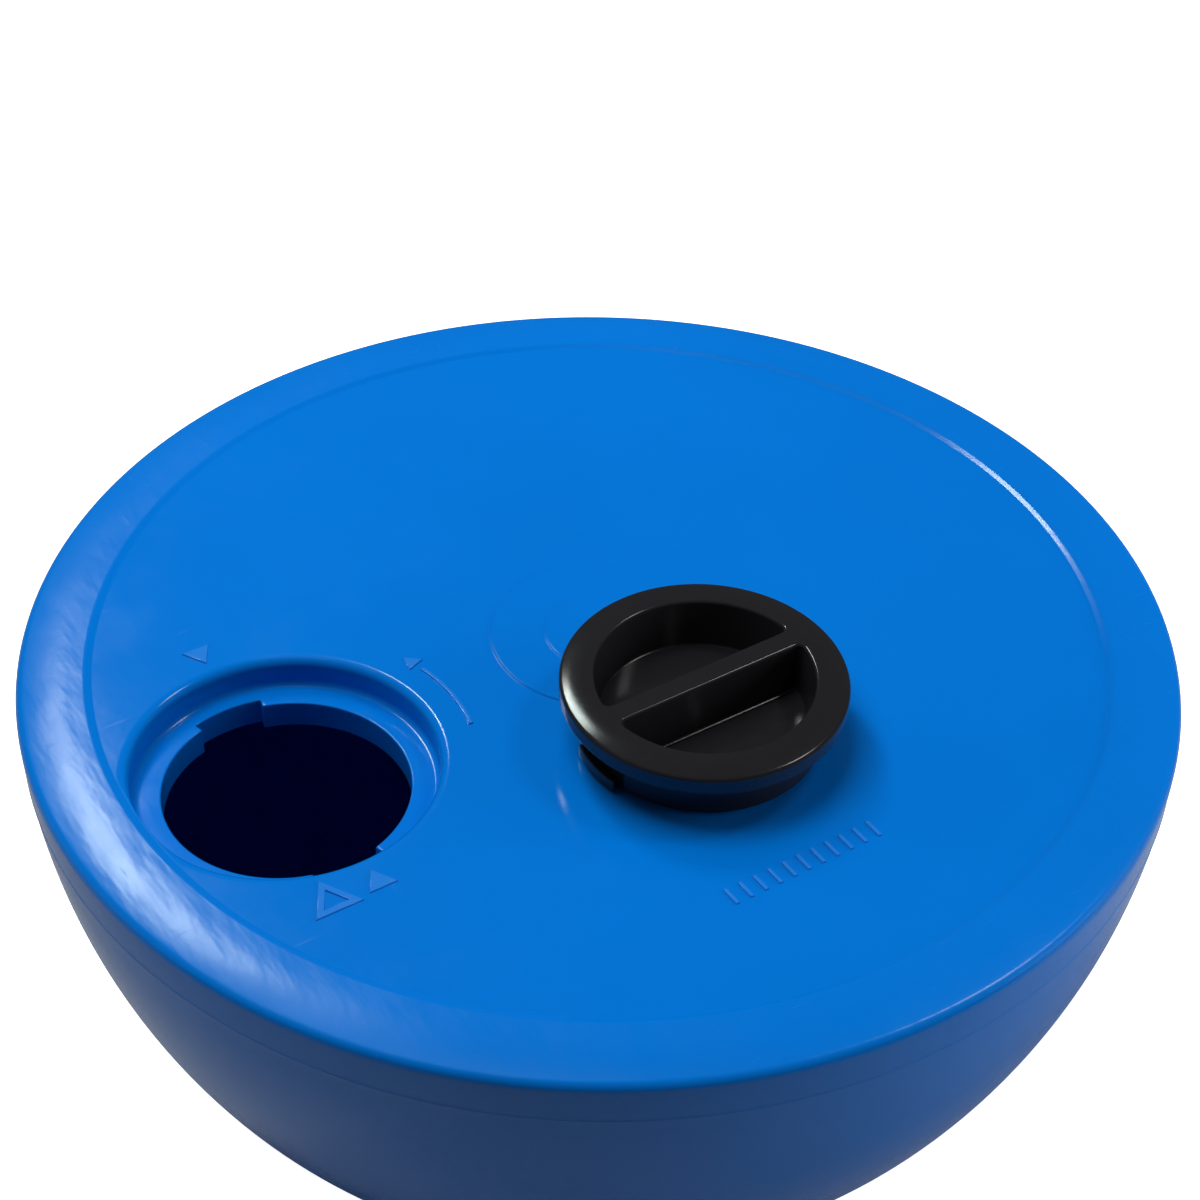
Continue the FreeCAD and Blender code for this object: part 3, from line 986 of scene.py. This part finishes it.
@dataclass
class LooseCap:
    """Where the cap and its seal lie: their own frame, level with the top edge of the flange."""

    joint: str = "cap_turn"

    def matrix(self) -> Matrix:
        """Finds the place of the cap's own frame, from the joint that it turns on.

        Returns:
            The frame's matrix.
        """
        joint = next(item for item in frame["joints"] if item["name"] == self.joint)
        axis = Vector(joint["axis"])
        turn = Vector(UP).rotation_difference(axis)
        return Matrix.Translation(joint["pos_m"]) @ turn.to_matrix().to_4x4()


@dataclass
class FillerCap(Piece):
    """The bayonet cap: flange, plug, two finger wells with a grip bar between, and two lugs."""

    place: LooseCap
    node: str = "filler_cap"
    body: str = "cap"
    slot: Slot = Slot.BLACK
    round_steps: int = 192
    flange_radius: float = 0.043
    flange_height: float = 0.0052
    flange_rise: float = 0.0014
    crown_centre: Pair = (0.03404, -0.02663)
    lip_radius: float = 0.036
    well_radius: float = 0.0337
    well_depth: float = 0.016
    well_draft: float = 0.0016
    well_round: float = 0.0010
    corner_round: float = 0.0028
    floor_round: float = 0.0008
    floor_wall: float = 0.0025
    grip_half: float = 0.0026
    plug_radius: float = 0.0362
    plug_inside: float = 0.0337
    plug_end: float = -0.01973
    lug_radius: float = 0.0388
    lug_bottom: float = -0.0202
    lug_height: float = 0.0044
    lug_half: float = 14.0
    lug_sunk: float = 0.0012
    lip_margin: float = 0.0006
    flange_round: float = 0.0009
    hollow_round: float = 0.0008
    edge_round: float = 0.0005
    lip_steps: int = 6
    wall_steps: int = 4
    floor_steps: int = 5

    def body_shell(self) -> BMesh:
        """Makes the flange, the plug and the hollow under the floor.

        Returns:
            The shell, open at the ring round the wells.
        """
        under = -self.flange_height
        floor_under = self.flange_rise - self.well_depth - self.floor_wall
        section = Section(self.lip_radius - self.lip_margin, self.flange_rise)
        section.line(self.lip_radius, self.flange_rise)
        section.arc(self.crown_centre, self.flange_radius, 0.0, 6)
        section.line(self.flange_radius, under).line(self.plug_radius, under)
        section.line(self.plug_radius, self.plug_end).line(self.plug_inside, self.plug_end)
        section.line(self.plug_inside, floor_under).line(0.0, floor_under)
        bm = section.spin(self.round_steps)
        for radius, level in ((self.lip_radius, self.flange_rise), (self.flange_radius, under),
                              (self.plug_radius, self.plug_end), (self.plug_inside, self.plug_end)):
            round_off(bm, ring_edges(bm, radius, level), self.edge_round)
        round_off(bm, ring_edges(bm, self.flange_radius, 0.0), self.flange_round, 6)
        round_off(bm, ring_edges(bm, self.plug_inside, floor_under), self.hollow_round)
        return bm

    def well(self, side: float) -> BMesh:
        """Makes one half-moon finger well.

        Args:
            side: 1 for the well at +Y, -1 for the one at -Y.

        Returns:
            The well, open at its lip.
        """
        corner = self.corner_round
        level = self.grip_half + corner
        across = math.sqrt((self.well_radius - corner) ** 2 - level ** 2)
        right, left = (across, level), (-across, level)
        start = arc_end((0.0, 0.0), right, self.well_radius)
        outline = Section(left[0], self.grip_half).line(right[0], self.grip_half)
        outline.arc(right, *start, 8).arc((0.0, 0.0), -start[0], start[1], 72)
        outline.arc(left, left[0], self.grip_half, 8)
        bm = outline.bm
        bmesh.ops.remove_doubles(bm, verts=bm.verts[:], dist=TINY * 10)
        turned(bm, -math.pi / 2, "X")
        bmesh.ops.contextual_create(bm, geom=bm.edges[:])
        floor = bm.faces[:]
        for near, far in self.quarter(self.lip_steps):
            self.sink(bm, floor, self.well_round * near, self.well_round * far)
        straight = self.well_depth - self.well_round - self.floor_round
        for _ in range(self.wall_steps):
            self.sink(bm, floor, self.well_draft / self.wall_steps, straight / self.wall_steps)
        for near, far in self.quarter(self.floor_steps):
            self.sink(bm, floor, self.floor_round * far, self.floor_round * near)
        if side < 0:
            turned(bm, math.pi, "Z")
        bmesh.ops.translate(bm, verts=bm.verts[:], vec=(0.0, 0.0, self.flange_rise))
        return bm

    @staticmethod
    def quarter(steps: int) -> list[Pair]:
        """Divides a quarter of a circle of radius 1.

        Args:
            steps: the number of pieces.

        Returns:
            How far each piece goes along the start's radius and away from it.
        """
        angles = [math.pi / 2 * index / steps for index in range(steps + 1)]
        return [(math.sin(then) - math.sin(now), math.cos(now) - math.cos(then))
                for now, then in zip(angles, angles[1:])]

    @staticmethod
    def sink(bm: BMesh, floor: list[BMFace], inward: float, down: float) -> None:
        """Insets the well's floor and lowers it.

        Args:
            bm: the well.
            floor: its one floor face.
            inward: inset width.
            down: how far the floor goes down.
        """
        bmesh.ops.inset_region(bm, faces=floor, thickness=inward, depth=0.0,
                               use_even_offset=True, use_boundary=True)
        bmesh.ops.translate(bm, verts=floor[0].verts[:], vec=(0.0, 0.0, -down))

    def lug(self, direction: float) -> BMesh:
        """Makes one bayonet lug.

        Args:
            direction: its middle, in degrees about the cap's axis.

        Returns:
            The lug, whose root lies inside the plug's wall.
        """
        bm = ring_block((self.plug_radius - self.lug_sunk, self.lug_radius),
                        (self.lug_bottom, self.lug_bottom + self.lug_height),
                        direction - self.lug_half, 2 * self.lug_half, 14)
        round_off(bm, corner_edges(bm), self.edge_round)
        return bm

    def build(self) -> None:
        """Builds the piece."""
        bm = self.body_shell()
        absorb(bm, self.well(1.0), self.well(-1.0))
        fill_flat(bm, self.flange_rise, 1.0)
        absorb(bm, self.lug(0.0), self.lug(180.0))
        bmesh.ops.transform(bm, verts=bm.verts[:], matrix=self.place.matrix())
        self.finished(bm, BLACK)


@dataclass
class CapSeal(Piece):
    """The rubber ring round the plug."""

    place: LooseCap
    node: str = "cap_seal"
    body: str = "seal"
    slot: Slot = Slot.RUBBER
    inner: float = 0.0365
    outer: float = 0.0415
    top: float = -0.0055
    height: float = 0.0018
    edge_round: float = 0.0005
    round_steps: int = 144

    def build(self) -> None:
        """Builds the piece."""
        bottom = self.top - self.height
        section = Section(self.inner, bottom).line(self.outer, bottom).line(self.outer, self.top)
        bm = section.line(self.inner, self.top).line(self.inner, bottom).spin(self.round_steps)
        rings = [edge for radius in (self.inner, self.outer) for level in (bottom, self.top)
                 for edge in ring_edges(bm, radius, level)]
        round_off(bm, rings, self.edge_round, 4)
        bmesh.ops.transform(bm, verts=bm.verts[:], matrix=self.place.matrix())
        self.finished(bm, SEAL)


# ---------------- studio

@dataclass
class View:
    """The camera: lens, distance and small turns that centre the object."""

    target: Triple = (0.0, 0.0, 0.195)
    right_side: float = -33.9    # degrees about +Z: the direction of the view's right-hand side
    elevation: float = 0.7096
    distance: float = 0.7879
    lens: float = 75.58
    sensor: float = 36.0
    yaw: float = -0.0003
    pitch: float = 0.0130
    roll: float = -0.0225

    def build(self) -> None:
        """Makes the camera and makes it the scene's."""
        spin = Matrix.Rotation(math.radians(self.right_side), 3, "Z")
        back = spin @ Vector((0.0, -math.cos(self.elevation), math.sin(self.elevation)))
        right = spin @ Vector((1.0, 0.0, 0.0))
        rise = back.cross(right)
        ahead = -back
        side = right * math.cos(self.yaw) - ahead * math.sin(self.yaw)
        ahead = right * math.sin(self.yaw) + ahead * math.cos(self.yaw)
        rise, ahead = (rise * math.cos(self.pitch) - ahead * math.sin(self.pitch),
                       rise * math.sin(self.pitch) + ahead * math.cos(self.pitch))
        across = side * math.cos(self.roll) - rise * math.sin(self.roll)
        upward = side * math.sin(self.roll) + rise * math.cos(self.roll)
        data = bpy.data.cameras.new("view")
        data.lens, data.sensor_width = self.lens, self.sensor
        data.clip_start, data.clip_end = 0.01, 50.0
        camera = bpy.data.objects.new("view", data)
        place = Matrix((across, upward, -ahead)).transposed().to_4x4()
        place.translation = Vector(self.target) + back * self.distance
        camera.matrix_world = place
        bpy.context.scene.collection.objects.link(camera)
        bpy.context.scene.camera = camera


@dataclass(frozen=True)
class SoftBox:
    """One rectangular light, aimed at the face."""

    name: str
    azimuth: float
    elevation: float
    distance: float
    width: float
    height: float
    power: float
    tint: Triple = (1.0, 1.0, 1.0)
    in_reflections: bool = True
    aim: Triple = (0.0, 0.0, 0.19)

    def build(self) -> None:
        """Makes the light."""
        turn, rise = math.radians(self.azimuth), math.radians(self.elevation)
        away = Vector((math.cos(turn) * math.cos(rise), math.sin(turn) * math.cos(rise),
                       math.sin(rise)))
        data = bpy.data.lights.new(self.name, "AREA")
        data.shape, data.size, data.size_y = "RECTANGLE", self.width, self.height
        data.energy, data.color = self.power, self.tint
        light = bpy.data.objects.new(self.name, data)
        light.visible_glossy = self.in_reflections
        light.location = Vector(self.aim) + away * self.distance
        light.rotation_euler = away.to_track_quat("Z", "Y").to_euler()
        bpy.context.scene.collection.objects.link(light)


@dataclass
class Studio:
    """A pale floor, lights and a surround, both white to the camera and darker to other rays."""

    floor_size: float = 40.0
    floor_glow: float = 0.95
    floor_bounce: float = 0.42
    paper_dark: Triple = (0.90, 0.90, 0.90)
    paper_pale: Triple = (0.93, 0.93, 0.93)
    surround: float = 0.03
    lights: tuple[SoftBox, ...] = (
        SoftBox("window", 91.0, 51.0, 1.25, 0.20, 0.26, 3.3, (0.86, 1.0, 0.94)),
        SoftBox("kicker", 88.0, 44.0, 1.25, 0.15, 0.15, 1.1, (0.94, 1.0, 0.97)),
        SoftBox("right_window", -20.0, 57.0, 1.4, 0.25, 0.25, 2.4),
        SoftBox("overhead", 126.0, 73.0, 1.6, 0.9, 0.9, 16.4, in_reflections=False),
        SoftBox("right_fill", -34.0, 10.0, 1.2, 0.8, 0.7, 8.5, in_reflections=False),
        SoftBox("left_fill", 146.0, 4.0, 1.2, 0.8, 0.7, 2.0, in_reflections=False),
    )

    @staticmethod
    def show_to_camera(tree: bpy.types.NodeTree, seen: NodeSocket, other: NodeSocket,
                       output: str) -> None:
        """Shows one shader to the camera and another to all other rays.

        Args:
            tree: the nodes of the floor's material or of the world.
            seen: the shader for the camera.
            other: the shader for other rays.
            output: the name of the tree's output node.
        """
        mix = tree.nodes.new("ShaderNodeMixShader")
        path = tree.nodes.new("ShaderNodeLightPath")
        tree.links.new(path.outputs["Is Camera Ray"], mix.inputs["Fac"])
        tree.links.new(other, mix.inputs[1])
        tree.links.new(seen, mix.inputs[2])
        tree.links.new(mix.outputs["Shader"], tree.nodes[output].inputs["Surface"])

    def paper(self) -> Material:
        """Makes the floor's material.

        Returns:
            The material.
        """
        nodes = Nodes("floor_paper")
        shader = nodes.shader.inputs
        tone = nodes.blend(nodes.noise(PAPER), self.paper_dark, self.paper_pale)
        nodes.wire(tone, shader["Base Color"])
        shader["Roughness"].default_value = 0.9
        shader["Specular IOR Level"].default_value = 0.1
        shader["Emission Color"].default_value = WHITE
        shader["Emission Strength"].default_value = self.floor_glow
        dim = nodes.add("ShaderNodeBsdfDiffuse")
        dim.inputs["Color"].default_value = (self.floor_bounce,) * 3 + (1.0,)
        self.show_to_camera(nodes.tree, nodes.shader.outputs["BSDF"], dim.outputs["BSDF"],
                            "Material Output")
        return nodes.material

    def floor(self) -> None:
        """Makes the floor."""
        bm = bmesh.new()
        bmesh.ops.create_grid(bm, x_segments=1, y_segments=1, size=self.floor_size / 2)
        mesh = bpy.data.meshes.new("floor")
        bm.to_mesh(mesh)
        bm.free()
        mesh.materials.append(self.paper())
        floor = bpy.data.objects.new("floor", mesh)
        bpy.context.scene.collection.objects.link(floor)

    def world(self) -> None:
        """Makes the surround."""
        world = bpy.data.worlds.new("surround")
        world.use_nodes = True
        dim = world.node_tree.nodes["Background"]
        dim.inputs["Color"].default_value = WHITE
        dim.inputs["Strength"].default_value = self.surround
        paper = world.node_tree.nodes.new("ShaderNodeBackground")
        paper.inputs["Color"].default_value = WHITE
        self.show_to_camera(world.node_tree, paper.outputs["Background"],
                            dim.outputs["Background"], "World Output")
        bpy.context.scene.world = world

    def build(self) -> None:
        """Makes the floor, the surround and the lights."""
        self.floor()
        self.world()
        for light in self.lights:
            light.build()
        bpy.context.scene.view_settings.view_transform = "Standard"


def main() -> None:
    """Builds the object and the studio."""
    logging.basicConfig(level=logging.INFO, format="%(name)s %(message)s")
    side, place = SideWall(), LooseCap()
    for piece in (FacePlate(side), BowlShell(side), FillerCap(place), CapSeal(place)):
        piece.build()
    View().build()
    Studio().build()


if __name__ == "__main__":
    main()
